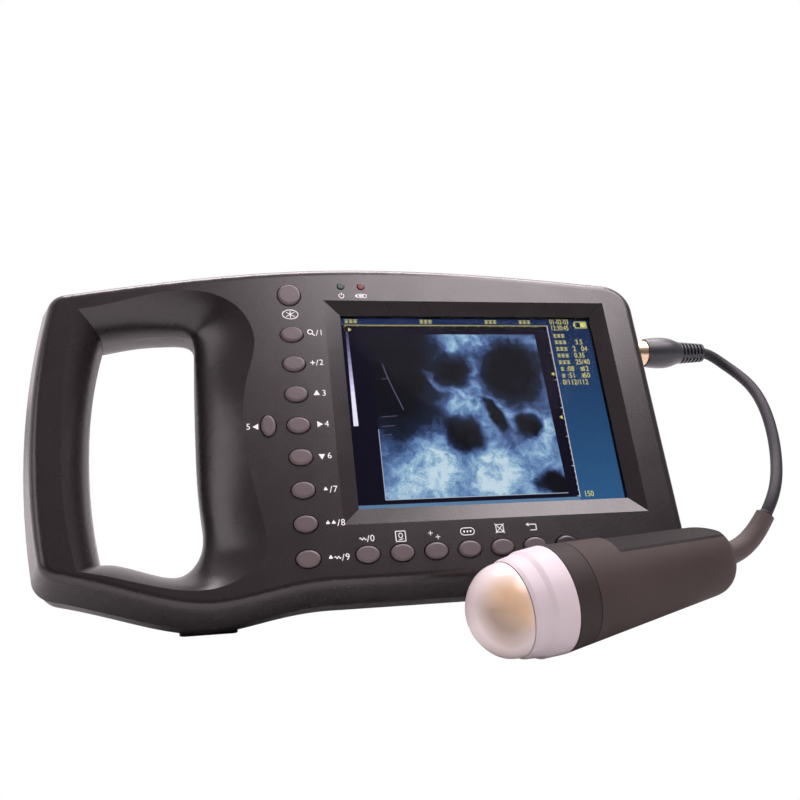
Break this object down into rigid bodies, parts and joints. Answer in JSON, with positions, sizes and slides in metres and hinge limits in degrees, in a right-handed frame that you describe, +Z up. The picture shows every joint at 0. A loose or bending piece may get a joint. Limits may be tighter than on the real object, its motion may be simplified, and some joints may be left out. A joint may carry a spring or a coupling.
{
  "type": "ultrasound scanner",
  "caption": "Hand-held ultrasound scanner with a hand hole, display and keys, leaning on its fold-out stand, with a mechanical sector probe on a plug-in cable.",
  "frame": {"origin": "bottom centre of the whole object's bounding box, on the table", "axes": "+X to the right along the display, +Z up, the display faces -Y and leans back"},
  "size_m": [0.3149, 0.1592, 0.1423],
  "materials": {
    "battery": "shrink wrap",
    "black_plastic": "matte",
    "board": "solder mask",
    "cable": "gloss",
    "ceramic": "matte",
    "chassis": "machined",
    "display": "lit",
    "dome": "translucent",
    "flex": "film",
    "gear": "machined",
    "grip": "textured",
    "key_rubber": "satin",
    "lamp_lens": "clear tint",
    "mat": "soft",
    "plug_metal": "nickel",
    "probe_plastic": "satin",
    "rubber_black": "matte",
    "shell": "satin moulded",
    "steel": "brushed",
    "white_plastic": "gloss",
    "window_glass": "gloss"
  },
  "bodies": {
    "unit": {"battery_cover": "shell", "battery_pack": "battery", "board_screws": "steel", "case_screws": "steel", "charge_jack": "black_plastic", "clock_cell": "steel", "cover_screws": "steel", "flex_cables": "flex", "front_shell": "shell", "key_mat": "mat", "keypad_board": "board", "lamp_lenses": "lamp_lens", "lcd_frame": "steel", "lcd_panel": "display", "main_board": "board", "probe_socket": "black_plastic", "rear_shell": "shell", "rubber_feet": "rubber_black", "scan_board": "board", "screen_window": "window_glass", "shield_can": "steel", "stand_pin": "steel", "video_jack": "black_plastic"},
    "stand": {"stand_leg": "shell", "stand_foot": "rubber_black"},
    "plug": {"plug_shell": "plug_metal", "plug_insert": "black_plastic", "plug_overmold": "rubber_black", "cable": "cable"},
    "probe": {"probe_handle": "probe_plastic", "grip_pad": "grip", "probe_collar": "black_plastic", "nose_ring": "white_plastic", "acoustic_window": "dome", "dome_seal": "rubber_black", "probe_chassis": "chassis", "drive_motor": "steel", "preamp_board": "board", "probe_sleeve": "rubber_black"},
    "rocker": {"sector_gear": "gear", "transducer_cradle": "chassis", "transducer_disc": "ceramic"},
    "pinion": {"drive_pinion": "gear"},
    "key_b": {"key_b": "key_rubber"},
    "key_bb": {"key_bb": "key_rubber"},
    "key_bm": {"key_bm": "key_rubber"},
    "key_bodymark": {"key_bodymark": "key_rubber"},
    "key_clear": {"key_clear": "key_rubber"},
    "key_down": {"key_down": "key_rubber"},
    "key_enter": {"key_enter": "key_rubber"},
    "key_freeze": {"key_freeze": "key_rubber"},
    "key_left": {"key_left": "key_rubber"},
    "key_m": {"key_m": "key_rubber"},
    "key_measure": {"key_measure": "key_rubber"},
    "key_plus": {"key_plus": "key_rubber"},
    "key_power": {"key_power": "key_rubber"},
    "key_right": {"key_right": "key_rubber"},
    "key_text": {"key_text": "key_rubber"},
    "key_up": {"key_up": "key_rubber"},
    "key_zoom": {"key_zoom": "key_rubber"}
  },
  "joints": [
    {"name": "key_b_press", "type": "slide", "parent": "unit", "child": "key_b", "axis": [0, 0.8862, -0.4633], "range_m": [0, 0.0008], "stiffness_N_per_m": 400},
    {"name": "key_bb_press", "type": "slide", "parent": "unit", "child": "key_bb", "axis": [0, 0.8862, -0.4633], "range_m": [0, 0.0008], "stiffness_N_per_m": 400},
    {"name": "key_bm_press", "type": "slide", "parent": "unit", "child": "key_bm", "axis": [0, 0.8862, -0.4633], "range_m": [0, 0.0008], "stiffness_N_per_m": 400},
    {"name": "key_bodymark_press", "type": "slide", "parent": "unit", "child": "key_bodymark", "axis": [0, 0.8862, -0.4633], "range_m": [0, 0.0008], "stiffness_N_per_m": 400},
    {"name": "key_clear_press", "type": "slide", "parent": "unit", "child": "key_clear", "axis": [0, 0.8862, -0.4633], "range_m": [0, 0.0008], "stiffness_N_per_m": 400},
    {"name": "key_down_press", "type": "slide", "parent": "unit", "child": "key_down", "axis": [0, 0.8862, -0.4633], "range_m": [0, 0.0008], "stiffness_N_per_m": 400},
    {"name": "key_enter_press", "type": "slide", "parent": "unit", "child": "key_enter", "axis": [0, 0.8862, -0.4633], "range_m": [0, 0.0008], "stiffness_N_per_m": 400},
    {"name": "key_freeze_press", "type": "slide", "parent": "unit", "child": "key_freeze", "axis": [0, 0.8862, -0.4633], "range_m": [0, 0.0008], "stiffness_N_per_m": 400},
    {"name": "key_left_press", "type": "slide", "parent": "unit", "child": "key_left", "axis": [0, 0.8862, -0.4633], "range_m": [0, 0.0008], "stiffness_N_per_m": 400},
    {"name": "key_m_press", "type": "slide", "parent": "unit", "child": "key_m", "axis": [0, 0.8862, -0.4633], "range_m": [0, 0.0008], "stiffness_N_per_m": 400},
    {"name": "key_measure_press", "type": "slide", "parent": "unit", "child": "key_measure", "axis": [0, 0.8862, -0.4633], "range_m": [0, 0.0008], "stiffness_N_per_m": 400},
    {"name": "key_plus_press", "type": "slide", "parent": "unit", "child": "key_plus", "axis": [0, 0.8862, -0.4633], "range_m": [0, 0.0008], "stiffness_N_per_m": 400},
    {"name": "key_power_press", "type": "slide", "parent": "unit", "child": "key_power", "axis": [0, 0.8862, -0.4633], "range_m": [0, 0.0008], "stiffness_N_per_m": 400},
    {"name": "key_right_press", "type": "slide", "parent": "unit", "child": "key_right", "axis": [0, 0.8862, -0.4633], "range_m": [0, 0.0008], "stiffness_N_per_m": 400},
    {"name": "key_text_press", "type": "slide", "parent": "unit", "child": "key_text", "axis": [0, 0.8862, -0.4633], "range_m": [0, 0.0008], "stiffness_N_per_m": 400},
    {"name": "key_up_press", "type": "slide", "parent": "unit", "child": "key_up", "axis": [0, 0.8862, -0.4633], "range_m": [0, 0.0008], "stiffness_N_per_m": 400},
    {"name": "key_zoom_press", "type": "slide", "parent": "unit", "child": "key_zoom", "axis": [0, 0.8862, -0.4633], "range_m": [0, 0.0008], "stiffness_N_per_m": 400},
    {"name": "stand_fold", "type": "hinge", "parent": "unit", "child": "stand", "pos_m": [-0.02125, 0.04176, 0.08669], "axis": [1, 0, 0], "range_deg": [-50, 0]},
    {"name": "plug_slide", "type": "slide", "parent": "unit", "child": "plug", "axis": [1, 0, 0], "range_m": [0, 0.02]},
    {"name": "probe_swing", "type": "hinge", "parent": "plug", "child": "probe", "pos_m": [0.12812, -0.0382, 0.04245], "axis": [0, 0, 1], "range_deg": [0, 35]},
    {"name": "transducer_rock", "type": "hinge", "parent": "probe", "child": "rocker", "pos_m": [0.01075, -0.06251, 0.01856], "axis": [-0.2028, 0.9792, 0], "range_deg": [-30, 30]},
    {"name": "pinion_turn", "type": "hinge", "parent": "probe", "child": "pinion", "pos_m": [0.02196, -0.06018, 0.01966], "axis": [-0.2028, 0.9792, 0], "range_deg": [-109, 109]}
  ],
  "couplings": [
    {"joint": "pinion_turn", "follows": "transducer_rock", "ratio": -3.6}
  ]
}
